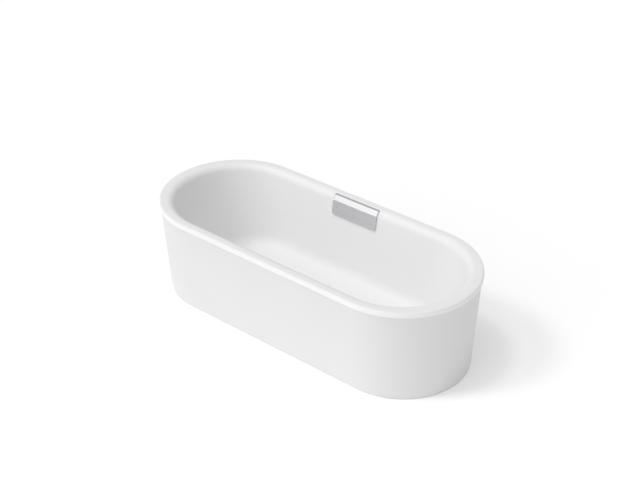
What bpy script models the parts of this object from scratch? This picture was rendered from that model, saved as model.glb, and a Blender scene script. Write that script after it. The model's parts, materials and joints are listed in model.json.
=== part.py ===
"""Freestanding double-ended bathtub: acrylic basin, tapered skirt, overflow, click waste, trap and feet.

Metres, +Z up, origin at the centre of the footprint on the floor. +X runs along the bath, and the
overflow cover sits on the +Y side.
"""

from math import cos, pi, radians, sin, sqrt, tan

import bmesh
import bpy
from mathutils import Matrix, Vector

# Driving dimensions
LENGTH = 1.800
WIDTH = 0.770
HEIGHT = 0.505
BASE_LENGTH = 1.742
BASE_WIDTH = 0.682
GAP = 0.0003            # clearance kept between pieces that touch

# Basin
SHELL = 0.006           # thickness of the rim and walls
LIP_HEIGHT = 0.027      # down-turned outer edge of the rim
LIP_ROUND = 0.008
ROLL_RADIUS = 0.040     # rim rolling over into the basin
SIDE_LEDGE = 0.029      # outer edge to the start of the roll
END_LEDGE = 0.042
SIDE_LEAN = radians(7)
END_LEAN = radians(17)
COVE_RADIUS = 0.070
FLOOR_EDGE_Z = 0.086    # basin floor where the cove ends
FLOOR_PAD_Z = 0.074     # underside of the thickened floor
DISH_Z = 0.0795         # recess that the waste flange sits in
DISH_RADIUS = 0.036
WASTE_HOLE = 0.026

# Skirt
SKIRT_WALL = 0.005
SKIRT_BOTTOM_Z = 0.006
SKIRT_KNEE_Z = 0.472    # the skirt stands upright above this, inside the lip
SKIRT_TOP_Z = 0.492

# Base board, rails and feet
BOARD_LENGTH = 1.10
BOARD_WIDTH = 0.34
BOARD_THICK = 0.012
BOARD_HOLE = 0.052
RAIL_X = 0.42
RAIL_HALF = 0.318
RAIL_WIDTH = 0.040
RAIL_DEPTH = 0.025
RAIL_WALL = 0.0025
FOOT_Y = 0.245
FOOT_STUD = 0.005
FOOT_PAD = 0.024
NUT_FLATS = 0.016
NUT_HEIGHT = 0.008
LOCK_NUT_HEIGHT = 0.005
RAIL_SCREW_Y = 0.120
BRACKET_SCREW_Y = 0.292

# Overflow
WINDOW_HALF = 0.035
WINDOW_LOW_Z = 0.415
WINDOW_HIGH_Z = 0.445
OVERFLOW_HALF = 0.055
OVERFLOW_LOW_Z = 0.405
OVERFLOW_HIGH_Z = 0.456
OVERFLOW_BACK_Y = 0.357
OVERFLOW_SCREW_X = 0.046
OVERFLOW_SCREW_Z = 0.430
COVER_HALF = 0.1375
COVER_SHEET = 0.0015
COVER_FRONT = ((0.3015, 0.4005), (0.3115, 0.4810), (0.3245, 0.5050), (0.3410, 0.5045))    # Y and Z
COVER_GAP = 0.0010      # from the cover's rear edges to the basin
HOSE_RADIUS = 0.0125
HOSE_TOP = (0.0, 0.343, 0.388)
HOSE_Z = 0.038

# Waste and trap
PIPE_RADIUS = 0.020
PIPE_BORE = 0.0175
PIPE_Z = 0.034
TRAP_X = -0.150
TRAP_RADIUS = 0.034
PIPE_END_X = -0.335

ARC_STEPS = 18          # facets in each half-round end
ROUND_STEPS = 20        # facets in a small turned piece

BOARD_TOP_Z = FLOOR_PAD_Z - GAP
BOARD_LOW_Z = BOARD_TOP_Z - BOARD_THICK
RAIL_TOP_Z = BOARD_LOW_Z - GAP
RAIL_WEB_Z = RAIL_TOP_Z - RAIL_WALL

PALETTE = {
    "acrylic_white": ((0.86, 0.86, 0.86), 0.25, 0.0),
    "chrome": ((0.80, 0.80, 0.82), 0.08, 1.0),
    "seal_white": ((0.82, 0.82, 0.81), 0.55, 0.0),
    "rubber_dark": ((0.05, 0.05, 0.05), 0.75, 0.0),
    "zinc_steel": ((0.62, 0.63, 0.65), 0.38, 1.0),
    "board": ((0.55, 0.43, 0.28), 0.80, 0.0),
    "plastic_white": ((0.78, 0.78, 0.77), 0.40, 0.0),
    "plastic_grey": ((0.32, 0.33, 0.34), 0.45, 0.0),
}


def clear_scene():
    for obj in list(bpy.data.objects):
        bpy.data.objects.remove(obj, do_unlink=True)


def material(name):
    found = bpy.data.materials.get(name)
    if found:
        return found
    colour, rough, metal = PALETTE[name]
    made = bpy.data.materials.new(name)
    made.use_nodes = True
    shader = made.node_tree.nodes["Principled BSDF"]
    shader.inputs["Base Color"].default_value = (*colour, 1.0)
    shader.inputs["Roughness"].default_value = rough
    shader.inputs["Metallic"].default_value = metal
    return made


def add(name, bm, finish, at=(0, 0, 0), turn=None, smooth=True):
    """Links a finished bmesh as an object with outward faces."""
    bmesh.ops.recalc_face_normals(bm, faces=bm.faces)
    mesh = bpy.data.meshes.new(name)
    bm.to_mesh(mesh)
    bm.free()
    if smooth:
        mesh.shade_smooth()
        mesh.set_sharp_from_angle(angle=radians(32))
    obj = bpy.data.objects.new(name, mesh)
    obj.location = at
    if turn:
        obj.rotation_euler = turn
    obj.data.materials.append(material(finish))
    bpy.context.scene.collection.objects.link(obj)
    return obj


# Building blocks


def ring(straight, radius, z):
    """Points round a stadium outline, or a circle when straight is 0, with the same count either way."""
    points = []
    for side in (1, -1):
        for step in range(ARC_STEPS + 1):
            if straight:
                angle = -pi / 2 + pi * step / ARC_STEPS
            else:
                angle = -pi / 2 + pi * (step + 0.5) / (ARC_STEPS + 1)
            x = straight + radius * cos(angle)
            points.append(Vector((side * x, side * radius * sin(angle), z)))
    return points


def loft(loops):
    """Skins rings of equal point counts and joins the last ring to the first."""
    bm = bmesh.new()
    rings = [[bm.verts.new(p) for p in loop] for loop in loops]
    count = len(rings[0])
    for low, high in zip(rings, rings[1:] + rings[:1]):
        for i in range(count):
            j = (i + 1) % count
            bm.faces.new((low[i], low[j], high[j], high[i]))
    return bm


def turned(profile, steps=ROUND_STEPS):
    """Spins (radius, z) points about Z. A profile that starts on the axis is solid; else it has a bore."""
    bm = bmesh.new()
    points = [bm.verts.new((r, 0, z)) for r, z in profile]
    edges = [bm.edges.new(pair) for pair in zip(points, points[1:])]
    if profile[0][0] > 0:
        edges.append(bm.edges.new((points[-1], points[0])))
    bmesh.ops.spin(bm, geom=points + edges, angle=2 * pi, steps=steps, axis=(0, 0, 1), cent=(0, 0, 0))
    bmesh.ops.remove_doubles(bm, verts=bm.verts, dist=1e-6)
    return bm


def extruded(outline, half, plane="YZ", centre=0.0):
    """Extrudes an outline by half each way: a YZ outline along X, or an XZ outline along Y."""
    bm = bmesh.new()
    if plane == "YZ":
        verts = [bm.verts.new((centre - half, a, b)) for a, b in outline]
        move = Vector((2 * half, 0, 0))
    else:
        verts = [bm.verts.new((a, centre - half, b)) for a, b in outline]
        move = Vector((0, 2 * half, 0))
    face = bm.faces.new(verts)
    grown = bmesh.ops.extrude_face_region(bm, geom=[face])["geom"]
    bmesh.ops.translate(bm, verts=[g for g in grown if isinstance(g, bmesh.types.BMVert)], vec=move)
    return bm


def block(low, high):
    bm = bmesh.new()
    bmesh.ops.create_cube(bm, size=1)
    size = Vector(high) - Vector(low)
    bmesh.ops.scale(bm, verts=bm.verts, vec=size)
    bmesh.ops.translate(bm, verts=bm.verts, vec=Vector(low) + size / 2)
    return bm


def rod(radius, start, end, steps=ROUND_STEPS):
    """A capped cylinder between two points."""
    start, end = Vector(start), Vector(end)
    run = end - start
    bm = bmesh.new()
    bmesh.ops.create_cone(
        bm, cap_ends=True, segments=steps, radius1=radius, radius2=radius, depth=run.length
    )
    place = Matrix.Translation((start + end) / 2) @ run.to_track_quat("Z", "Y").to_matrix().to_4x4()
    bmesh.ops.transform(bm, matrix=place, verts=bm.verts)
    return bm


def cutter(name, bm):
    obj = add(name, bm, "plastic_grey", smooth=False)
    obj.hide_render = True
    obj.display_type = "WIRE"
    return obj


def boolean(obj, other, operation="DIFFERENCE"):
    change = obj.modifiers.new(other.name, "BOOLEAN")
    change.operation = operation
    change.solver = "EXACT"
    change.object = other


# Basin shape


def reach(z, roll_centre, lean, out=0.0):
    """How far the basin's surface, moved outward by out, stands from the bath's centre line at height z."""
    roll_z = HEIGHT - ROLL_RADIUS
    roll = ROLL_RADIUS - out
    cove_z = FLOOR_EDGE_Z + COVE_RADIUS
    cove = COVE_RADIUS + out
    if z >= roll_z + roll * sin(lean):
        return roll_centre - sqrt(max(roll**2 - (z - roll_z) ** 2, 0))
    inner_wall = roll_centre - ROLL_RADIUS / cos(lean) - (roll_z - cove_z) * tan(lean)
    if z <= cove_z - cove * sin(lean):
        cove_centre = inner_wall - COVE_RADIUS / cos(lean)
        return cove_centre + sqrt(max(cove**2 - (cove_z - z) ** 2, 0))
    return inner_wall + out / cos(lean) + (z - cove_z) * tan(lean)


def side_reach(z, out=0.0):
    return reach(z, WIDTH / 2 - SIDE_LEDGE, SIDE_LEAN, out)


def end_reach(z, out=0.0):
    return reach(z, LENGTH / 2 - END_LEDGE, END_LEAN, out)


def basin_ring(z, out=0.0):
    wide = side_reach(z, out)
    return ring(end_reach(z, out) - wide, wide, z)


def rim_ring(inset, z):
    """A ring parallel to the rim's outer edge."""
    return ring((LENGTH - WIDTH) / 2, WIDTH / 2 - inset, z)


def shell_rings(out):
    """Rings from the floor's edge up to the top of the roll, on the surface moved outward by out."""
    cove_z = FLOOR_EDGE_Z + COVE_RADIUS
    roll_z = HEIGHT - ROLL_RADIUS
    heights = [cove_z - (COVE_RADIUS + out) * cos(radians(a)) for a in (0, 15, 30, 45, 60, 73, 83)]
    heights += [0.22, 0.31, 0.40]
    heights += [roll_z + (ROLL_RADIUS - out) * cos(radians(a)) for a in (83, 73, 60, 48, 36, 24, 12, 0)]
    return [basin_ring(z, out) for z in heights]


def make_basin():
    floor = [
        ring(0, WASTE_HOLE, DISH_Z),
        ring(0, DISH_RADIUS, DISH_Z),
        ring(0, DISH_RADIUS + 0.008, DISH_Z + 0.002),
        ring(0.24, 0.110, DISH_Z + 0.004),
    ]
    lip_z = HEIGHT - LIP_HEIGHT
    rim = []
    for angle in (90, 60, 30, 0):
        inset = LIP_ROUND * (1 - cos(radians(angle)))
        rim.append(rim_ring(inset, HEIGHT - LIP_ROUND * (1 - sin(radians(angle)))))
    rim += [rim_ring(0, lip_z), rim_ring(SHELL, lip_z), rim_ring(SHELL, HEIGHT - SHELL)]
    outside = list(reversed(shell_rings(SHELL)))
    wide = side_reach(FLOOR_EDGE_Z - SHELL, SHELL) - 0.012
    straight = end_reach(FLOOR_EDGE_Z - SHELL, SHELL) - 0.012 - wide
    pad = [ring(straight, wide, FLOOR_PAD_Z), ring(0, WASTE_HOLE, FLOOR_PAD_Z)]
    basin = add("basin", loft(floor + shell_rings(0.0) + rim + outside + pad), "acrylic_white")
    window = block((-WINDOW_HALF, 0.28, WINDOW_LOW_Z), (WINDOW_HALF, 0.34, WINDOW_HIGH_Z))
    boolean(basin, cutter("overflow_window_cutter", window))
    for side in (-1, 1):
        boolean(basin, overflow_screw_cutter(side))


# Skirt and seals


def skirt_ring(z, inset=0.0):
    """A ring on the skirt's outer face, moved inward by inset."""
    top_wide = WIDTH / 2 - SHELL - 0.0007
    top_long = LENGTH / 2 - SHELL - 0.0007
    share = min((z - SKIRT_BOTTOM_Z) / (SKIRT_KNEE_Z - SKIRT_BOTTOM_Z), 1)
    wide = BASE_WIDTH / 2 + (top_wide - BASE_WIDTH / 2) * share
    long = BASE_LENGTH / 2 + (top_long - BASE_LENGTH / 2) * share
    return ring(long - wide, wide - inset, z)


def skirt_face(z, inset=0.0):
    """The skirt's outer half-width at height z, less inset."""
    return max(point.y for point in skirt_ring(z)) - inset


def band(low_z, high_z, inset, thick):
    loops = [(low_z, inset), (high_z, inset), (high_z, inset + thick), (low_z, inset + thick)]
    return loft([skirt_ring(z, i) for z, i in loops])


def make_skirt():
    heights = (SKIRT_BOTTOM_Z, SKIRT_KNEE_Z, SKIRT_TOP_Z)
    outer = [skirt_ring(z) for z in heights]
    inner = [skirt_ring(z, SKIRT_WALL) for z in reversed(heights)]
    add("skirt", loft(outer + inner), "acrylic_white")
    bead_low = SKIRT_TOP_Z + GAP
    bead_high = HEIGHT - SHELL - GAP
    add("rim_bond_bead", band(bead_low, bead_high, 0.0, SKIRT_WALL), "seal_white")
    add("floor_seal", band(0.001, SKIRT_BOTTOM_Z - GAP, 0.0, SKIRT_WALL), "seal_white")


# Base board, rails, brackets and feet


def make_board():
    corner = Vector((BOARD_LENGTH / 2, BOARD_WIDTH / 2, BOARD_TOP_Z))
    bm = block((-corner.x, -corner.y, BOARD_LOW_Z), corner)
    board = add("base_board", bm, "board", smooth=False)
    hole = rod(BOARD_HOLE, (0, 0, BOARD_LOW_Z - 0.01), (0, 0, BOARD_TOP_Z + 0.01), 24)
    boolean(board, cutter("board_hole_cutter", hole))
    return board


def hex_nut(across_flats, bore, low_z, high_z):
    """A hexagon with a round bore, from rings of twelve points."""
    loops = []
    for z, hexagon in ((low_z, True), (high_z, True), (high_z, False), (low_z, False)):
        points = []
        for step in range(12):
            angle = step * pi / 6
            radius = bore
            if hexagon:
                radius = across_flats / 2 / (cos(pi / 6) if step % 2 else 1)
            points.append(Vector((radius * cos(angle), radius * sin(angle), z)))
        loops.append(points)
    return loft(loops)


def make_rail(name, x, board):
    half = RAIL_WIDTH / 2
    inner = half - RAIL_WALL
    low = RAIL_TOP_Z - RAIL_DEPTH
    outline = [
        (x - half, low), (x - inner, low), (x - inner, RAIL_WEB_Z), (x + inner, RAIL_WEB_Z),
        (x + inner, low), (x + half, low), (x + half, RAIL_TOP_Z), (x - half, RAIL_TOP_Z),
    ]
    rail = add(name, extruded(outline, RAIL_HALF, "XZ"), "zinc_steel", smooth=False)
    for side in (-1, 1):
        holes = (
            ("foot", FOOT_Y, FOOT_STUD + 0.0006),
            ("board_screw", RAIL_SCREW_Y, 0.0025),
            ("bracket_screw", BRACKET_SCREW_Y, 0.0030),
        )
        for use, y, radius in holes:
            hole = rod(radius, (x, side * y, RAIL_WEB_Z - 0.004), (x, side * y, RAIL_TOP_Z + 0.009), 12)
            made = cutter(f"{name}_{use}_{side}_cutter", hole)
            boolean(rail, made)
            if use == "board_screw":
                boolean(board, made)


def make_rail_screw(name, x, y):
    head_z = RAIL_WEB_Z - GAP
    tip_z = BOARD_LOW_Z + 0.0085
    profile = [
        (0, head_z - 0.0028), (0.0040, head_z - 0.0028), (0.0050, head_z - 0.0016), (0.0050, head_z),
        (0.0021, head_z), (0.0021, tip_z - 0.003), (0, tip_z),
    ]
    add(name, turned(profile, 12), "zinc_steel", (x, y, 0))


def make_bracket(number, x, side):
    """An angle on the rail's end whose upright leg leans with the skirt."""
    low = RAIL_TOP_Z + GAP
    high = low + 0.060
    thick = 0.0025
    back = 0.0006
    outline = [
        (side * 0.272, low), (side * (skirt_face(low, SKIRT_WALL) - back), low),
        (side * (skirt_face(high, SKIRT_WALL) - back), high),
        (side * (skirt_face(high, SKIRT_WALL) - back - thick), high),
        (side * (skirt_face(low + thick, SKIRT_WALL) - back - thick), low + thick),
        (side * 0.272, low + thick),
    ]
    bracket = add(f"skirt_bracket_{number}", extruded(outline, 0.015, "YZ", x), "zinc_steel", smooth=False)
    screw_y = side * BRACKET_SCREW_Y
    hole = rod(0.0030, (x, screw_y, low - 0.003), (x, screw_y, low + 0.006), 12)
    boolean(bracket, cutter(f"bracket_{number}_cutter", hole))
    seat = low + thick + GAP
    tip = RAIL_WEB_Z - 0.004
    profile = [
        (0, tip), (0.0025, tip), (0.0025, seat), (0.0048, seat), (0.0048, seat + 0.0020),
        (0.0036, seat + 0.0032), (0, seat + 0.0032),
    ]
    add(f"bracket_screw_{number}", turned(profile, 12), "zinc_steel", (x, screw_y, 0))


def make_foot(number, x, y):
    """One levelling foot. Its stud and pad are placed on the foot's own upright axis."""
    at = (x, y, 0)
    nut_low = RAIL_TOP_Z + GAP
    bore = FOOT_STUD + 0.0005
    nut = hex_nut(NUT_FLATS, bore, nut_low, nut_low + NUT_HEIGHT)
    add(f"foot_nut_{number}", nut, "zinc_steel", at, smooth=False)
    lock_high = RAIL_WEB_Z - GAP
    lock_nut = hex_nut(NUT_FLATS, bore, lock_high - LOCK_NUT_HEIGHT, lock_high)
    add(f"foot_lock_nut_{number}", lock_nut, "zinc_steel", at, smooth=False)
    stud = [
        (0, 0.0093), (FOOT_STUD, 0.0093), (FOOT_STUD, 0.0792), (FOOT_STUD - 0.001, 0.0802), (0, 0.0802),
    ]
    add(f"foot_stud_{number}", turned(stud, 12), "zinc_steel", at)
    pad = [
        (0, 0), (FOOT_PAD - 0.0015, 0), (FOOT_PAD, 0.0015), (FOOT_PAD, 0.006), (FOOT_PAD - 0.004, 0.009),
        (0.010, 0.011), (0.0095, 0.020), (FOOT_STUD + GAP, 0.020), (FOOT_STUD + GAP, 0.009), (0, 0.009),
    ]
    add(f"foot_pad_{number}", turned(pad, 16), "plastic_grey", at)


def make_base():
    board = make_board()
    number = 0
    for end, x in (("left", -RAIL_X), ("right", RAIL_X)):
        make_rail(f"cross_rail_{end}", x, board)
        for side in (-1, 1):
            number += 1
            make_rail_screw(f"rail_screw_{number}", x, side * RAIL_SCREW_Y)
            make_bracket(number, x, side)
            make_foot(number, x, side * FOOT_Y)


# Overflow


def wall_slab(low_z, high_z, near, far):
    """A YZ outline parallel to the basin's side wall, between two distances outward of its inner face."""
    return [
        (side_reach(low_z, near), low_z), (side_reach(high_z, near), high_z),
        (side_reach(high_z, far), high_z), (side_reach(low_z, far), low_z),
    ]


def overflow_screw_cutter(side):
    x = side * OVERFLOW_SCREW_X
    found = bpy.data.objects.get(f"overflow_screw_cutter_{side}")
    if found:
        return found
    hole = rod(0.0028, (x, 0.295, OVERFLOW_SCREW_Z), (x, 0.3365, OVERFLOW_SCREW_Z), 12)
    return cutter(f"overflow_screw_cutter_{side}", hole)


def framed_slab(name, near, far, finish):
    """A thin frame round the overflow window, with the two screw holes."""
    obj = add(
        name,
        extruded(wall_slab(OVERFLOW_LOW_Z, OVERFLOW_HIGH_Z, near, far), OVERFLOW_HALF),
        finish,
        smooth=False,
    )
    boolean(obj, bpy.data.objects["overflow_window_cutter"])
    for side in (-1, 1):
        boolean(obj, overflow_screw_cutter(side))
    return obj


def make_overflow_body():
    """A housing behind the wall: open towards the window, with a spigot down to the hose."""
    near = SHELL + 0.0029
    outline = [
        (side_reach(OVERFLOW_LOW_Z, near), OVERFLOW_LOW_Z),
        (side_reach(OVERFLOW_HIGH_Z, near), OVERFLOW_HIGH_Z),
        (OVERFLOW_BACK_Y, OVERFLOW_HIGH_Z),
        (OVERFLOW_BACK_Y, OVERFLOW_LOW_Z),
    ]
    body = add("overflow_body", extruded(outline, OVERFLOW_HALF), "plastic_grey", smooth=False)
    spigot = rod(0.0115, (0, HOSE_TOP[1], HOSE_TOP[2] + GAP), (0, HOSE_TOP[1], OVERFLOW_LOW_Z + 0.002))
    boolean(body, cutter("overflow_spigot_shape", spigot), "UNION")
    room = block((-WINDOW_HALF, 0.30, 0.412), (WINDOW_HALF, OVERFLOW_BACK_Y - 0.003, 0.450))
    boolean(body, cutter("overflow_room_cutter", room))
    bore = rod(0.0085, (0, HOSE_TOP[1], HOSE_TOP[2] - 0.01), (0, HOSE_TOP[1], 0.43))
    boolean(body, cutter("overflow_bore_cutter", bore))
    for side in (-1, 1):
        boolean(body, overflow_screw_cutter(side))


def make_overflow_screw(name, x):
    head_y = side_reach(OVERFLOW_SCREW_Z, -0.0025)
    profile = [
        (0, 0), (0.0025, 0), (0.0025, -0.0245), (0.0046, -0.0245), (0.0046, -0.0252),
        (0.0030, -0.0260), (0, -0.0260),
    ]
    at = (x, head_y + 0.0245, OVERFLOW_SCREW_Z)
    add(name, turned(profile, 12), "zinc_steel", at, (radians(-90), 0, 0))


def cover_back(gap):
    """YZ points on the rim roll and side wall, gap clear of them, down to the cover's lower edge."""
    points = []
    for angle in (21.5, 32, 43, 57, 72):
        z = HEIGHT - ROLL_RADIUS + (ROLL_RADIUS + gap) * cos(radians(angle))
        points.append((side_reach(z, -gap), z))
    points += [(side_reach(z, -gap), z) for z in (0.462, COVER_FRONT[0][1])]
    return points


def make_cover():
    """The folded cover: a lip on the roll, a steep band, a plate down the wall, and two closed ends."""
    outline = list(COVER_FRONT) + cover_back(COVER_GAP)
    cover = add("overflow_cover", extruded(outline, COVER_HALF), "chrome", smooth=False)
    low, crease, crest, _ = COVER_FRONT
    below = 0.010
    lean = (crease[0] - low[0]) / (crease[1] - low[1])
    room_z = low[1] - below
    pocket = [
        (low[0] + COVER_SHEET - lean * below, room_z), (crease[0] + COVER_SHEET, crease[1]),
        (crest[0] + COVER_SHEET * 0.8, crest[1] - COVER_SHEET * 1.5), (0.3300, 0.4990),
    ]
    pocket += [(y + 0.004, z - 0.004) for y, z in cover_back(COVER_GAP)[1:-2]]
    pocket += [(0.3260, 0.462), (0.3260, room_z)]
    boolean(cover, cutter("cover_pocket_cutter", extruded(pocket, COVER_HALF - COVER_SHEET)))


def tube(name, points, radius, finish):
    curve = bpy.data.curves.new(name, "CURVE")
    curve.dimensions = "3D"
    curve.bevel_depth = radius
    curve.bevel_resolution = 3
    curve.use_fill_caps = True
    spline = curve.splines.new("POLY")
    spline.points.add(len(points) - 1)
    for place, point in zip(spline.points, points):
        place.co = (*point, 1)
    curve.materials.append(material(finish))
    obj = bpy.data.objects.new(name, curve)
    bpy.context.scene.collection.objects.link(obj)


def bezier(corners, steps):
    """Points on one cubic Bezier curve."""
    a, b, c, d = (Vector(p) for p in corners)
    found = []
    for step in range(steps + 1):
        t = step / steps
        u = 1 - t
        found.append(a * u**3 + 3 * b * u * u * t + 3 * c * u * t * t + d * t**3)
    return found


def make_hose():
    top = Vector(HOSE_TOP)
    low = Vector((0, 0.0603, HOSE_Z))
    straight = 0.015
    neck = top - Vector((0, 0, straight))
    elbow = low + Vector((0, straight, 0))
    middle = Vector((0, 0.292, 0.110))
    upper = bezier((neck, neck - Vector((0, 0, 0.09)), middle + Vector((0, 0.018, 0.07)), middle), 8)
    lower = bezier((middle, middle - Vector((0, 0.018, 0.07)), elbow + Vector((0, 0.09, 0)), elbow), 12)
    tube("overflow_hose", [top] + upper + lower[1:] + [low], HOSE_RADIUS - GAP, "plastic_grey")
    bore = HOSE_RADIUS + 0.0008
    ring_profile = [(bore, -0.009), (0.0175, -0.009), (0.0175, 0.009), (bore, 0.009)]
    add("hose_nut_top", turned(ring_profile), "plastic_white", top)
    add("hose_nut_low", turned(ring_profile), "plastic_white", low, (radians(90), 0, 0))


def make_overflow():
    framed_slab("overflow_gasket", SHELL + GAP, SHELL + 0.0026, "rubber_dark")
    framed_slab("overflow_clip", -0.0015, -GAP, "zinc_steel")
    make_overflow_body()
    for number, side in ((1, -1), (2, 1)):
        make_overflow_screw(f"overflow_screw_{number}", side * OVERFLOW_SCREW_X)
    make_cover()
    make_hose()


# Waste and trap


def make_waste():
    flange_z = DISH_Z + 0.0015
    inner = WASTE_HOLE + 0.0010
    outer = DISH_RADIUS - 0.0025
    gasket = [
        (inner, DISH_Z + GAP), (outer, DISH_Z + GAP), (outer, flange_z - GAP), (inner, flange_z - GAP),
    ]
    add("flange_gasket", turned(gasket), "rubber_dark")
    flange = [
        (0.0225, 0.060), (0.0245, 0.060), (0.0245, flange_z), (0.0345, flange_z), (0.0345, flange_z + 0.0012),
        (0.0335, flange_z + 0.0022), (0.0290, flange_z + 0.0022), (0.0225, flange_z - 0.0010),
    ]
    add("waste_flange", turned(flange, 24), "chrome")
    gasket_top = FLOOR_PAD_Z - GAP
    gasket_low = [
        (0.0275, gasket_top - 0.002), (0.0360, gasket_top - 0.002),
        (0.0360, gasket_top), (0.0275, gasket_top),
    ]
    add("waste_gasket", turned(gasket_low), "rubber_dark")
    body_top = gasket_top - 0.002 - GAP
    body = [
        (0, 0.0125), (0.0310, 0.0125), (0.0310, body_top - 0.0025), (0.0370, body_top - 0.0025),
        (0.0370, body_top), (0.0248, body_top), (0.0248, 0.0600), (0.0285, 0.0560),
        (0.0285, 0.0155), (0, 0.0155),
    ]
    waste = add("waste_body", turned(body, 24), "plastic_grey")
    outlet = rod(PIPE_RADIUS, (-0.0295, 0, PIPE_Z), (-0.072, 0, PIPE_Z))
    boolean(waste, cutter("waste_outlet_shape", outlet), "UNION")
    inlet = rod(0.0115, (0, 0.0295, HOSE_Z), (0, 0.0600, HOSE_Z))
    boolean(waste, cutter("waste_inlet_shape", inlet), "UNION")
    outlet_bore = rod(PIPE_BORE, (-0.020, 0, PIPE_Z), (-0.080, 0, PIPE_Z))
    boolean(waste, cutter("waste_outlet_cutter", outlet_bore))
    inlet_bore = rod(0.0085, (0, 0.020, HOSE_Z), (0, 0.070, HOSE_Z))
    boolean(waste, cutter("waste_inlet_cutter", inlet_bore))


def make_plug():
    """The strainer that guides the plug, and the click plug itself, all on the waste's upright axis."""
    hub = [
        (0.0046, 0.0450), (0.0090, 0.0450), (0.0090, 0.0603), (0.0222, 0.0603),
        (0.0222, 0.0625), (0.0046, 0.0625),
    ]
    strainer = add("waste_strainer", turned(hub), "chrome")
    for step in range(6):
        angle = step * pi / 3
        x, y = 0.0155 * cos(angle), 0.0155 * sin(angle)
        hole = rod(0.0040, (x, y, 0.055), (x, y, 0.066), 12)
        boolean(strainer, cutter(f"strainer_hole_{step}_cutter", hole))
    stem = [(0, 0.0400), (0.0040, 0.0400), (0.0040, 0.0797), (0, 0.0797)]
    add("plug_stem", turned(stem, 16), "chrome")
    cap = [
        (0, 0.0800), (0.0125, 0.0800), (0.0125, 0.0836), (0.0280, 0.0836), (0.0290, 0.0843), (0.0286, 0.0860),
        (0.0270, 0.0868), (0.0150, 0.0878), (0, 0.0881),
    ]
    add("plug_cap", turned(cap, 24), "chrome")
    seal = [(0.0128, 0.0808), (0.0215, 0.0808), (0.0238, 0.0833), (0.0128, 0.0833)]
    add("plug_seal", turned(seal), "rubber_dark")


def pipe_nut(name, x):
    bore = PIPE_RADIUS + GAP
    outer = PIPE_RADIUS + 0.0045
    profile = [(bore, -0.010), (outer, -0.010), (outer, 0.010), (bore, 0.010)]
    add(name, turned(profile), "plastic_white", (x, 0, PIPE_Z), (0, radians(90), 0))


def make_trap():
    inner = TRAP_RADIUS - 0.0025
    bowl_top = 0.0555
    bowl = [
        (0, 0.0100), (TRAP_RADIUS - 0.006, 0.0100), (TRAP_RADIUS, 0.0160), (TRAP_RADIUS, bowl_top),
        (inner, bowl_top), (inner, 0.0170), (inner - 0.005, 0.0125), (0, 0.0125),
    ]
    trap = add("trap_bowl", turned(bowl, 24), "plastic_white", (TRAP_X, 0, 0))
    pipe_ends = ((TRAP_X + TRAP_RADIUS - 0.002, -0.0723), (TRAP_X - TRAP_RADIUS + 0.002, -0.2120))
    for number, (near, far) in enumerate(pipe_ends):
        shape = rod(PIPE_RADIUS - 0.001, (near, 0, PIPE_Z), (far, 0, PIPE_Z))
        boolean(trap, cutter(f"trap_port_{number}_shape", shape), "UNION")
    for number, (near, far) in enumerate(pipe_ends):
        out = 0.010 if far > near else -0.010
        bore = rod(PIPE_BORE - 0.001, (near - out, 0, PIPE_Z), (far + out, 0, PIPE_Z))
        boolean(trap, cutter(f"trap_port_{number}_cutter", bore))
    cap = [
        (0, bowl_top + GAP), (0.0365, bowl_top + GAP), (0.0365, 0.0595), (0.0355, 0.0605), (0, 0.0605),
    ]
    add("trap_cap", turned(cap, 24), "plastic_grey", (TRAP_X, 0, 0))
    pipe = [
        (PIPE_BORE, PIPE_END_X), (PIPE_RADIUS, PIPE_END_X), (PIPE_RADIUS, -0.2123), (PIPE_BORE, -0.2123),
    ]
    add("outlet_pipe", turned(pipe), "plastic_grey", (0, 0, PIPE_Z), (0, radians(90), 0))
    pipe_nut("trap_nut_in", -0.0722)
    pipe_nut("trap_nut_out", -0.2122)


clear_scene()
make_basin()
make_skirt()
make_base()
make_overflow()
make_waste()
make_plug()
make_trap()
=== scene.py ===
"""Looks of a freestanding double-ended bathtub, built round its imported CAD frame.

Metres, +Z up, in the CAD's own frame: +X runs along the bath and the overflow cover is on the +Y side.
Each function below builds the fine meshes of one sub-part, or of one kind, in the place of CAD nodes.
"""

import json
from math import cos, hypot, pi, radians, sin, sqrt, tan

import bmesh
import bpy
from mathutils import Matrix, Vector


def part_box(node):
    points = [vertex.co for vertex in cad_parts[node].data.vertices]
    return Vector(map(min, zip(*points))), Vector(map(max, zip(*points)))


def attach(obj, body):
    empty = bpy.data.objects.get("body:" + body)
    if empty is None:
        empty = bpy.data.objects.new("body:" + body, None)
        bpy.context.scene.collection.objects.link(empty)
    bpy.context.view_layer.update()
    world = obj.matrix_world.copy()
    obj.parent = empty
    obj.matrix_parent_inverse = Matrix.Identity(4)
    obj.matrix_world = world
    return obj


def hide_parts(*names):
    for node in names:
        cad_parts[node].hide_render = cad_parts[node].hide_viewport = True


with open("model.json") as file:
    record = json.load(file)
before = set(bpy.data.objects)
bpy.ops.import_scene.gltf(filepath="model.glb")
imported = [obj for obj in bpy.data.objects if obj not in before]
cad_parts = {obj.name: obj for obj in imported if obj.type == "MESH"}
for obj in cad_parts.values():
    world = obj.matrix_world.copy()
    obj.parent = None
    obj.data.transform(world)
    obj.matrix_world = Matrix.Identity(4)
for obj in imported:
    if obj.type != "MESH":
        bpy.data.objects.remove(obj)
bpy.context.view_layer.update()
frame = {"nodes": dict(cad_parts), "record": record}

# Sizes read from the frame
BASIN_LOW, BASIN_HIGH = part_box("basin")
LENGTH = BASIN_HIGH.x - BASIN_LOW.x
WIDTH = BASIN_HIGH.y - BASIN_LOW.y
HEIGHT = BASIN_HIGH.z
FLOOR_PAD_Z = BASIN_LOW.z
SKIRT_LOW, SKIRT_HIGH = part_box("skirt")
SEAL_LOW, SEAL_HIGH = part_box("floor_seal")
COVER_LOW, COVER_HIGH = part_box("overflow_cover")
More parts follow.
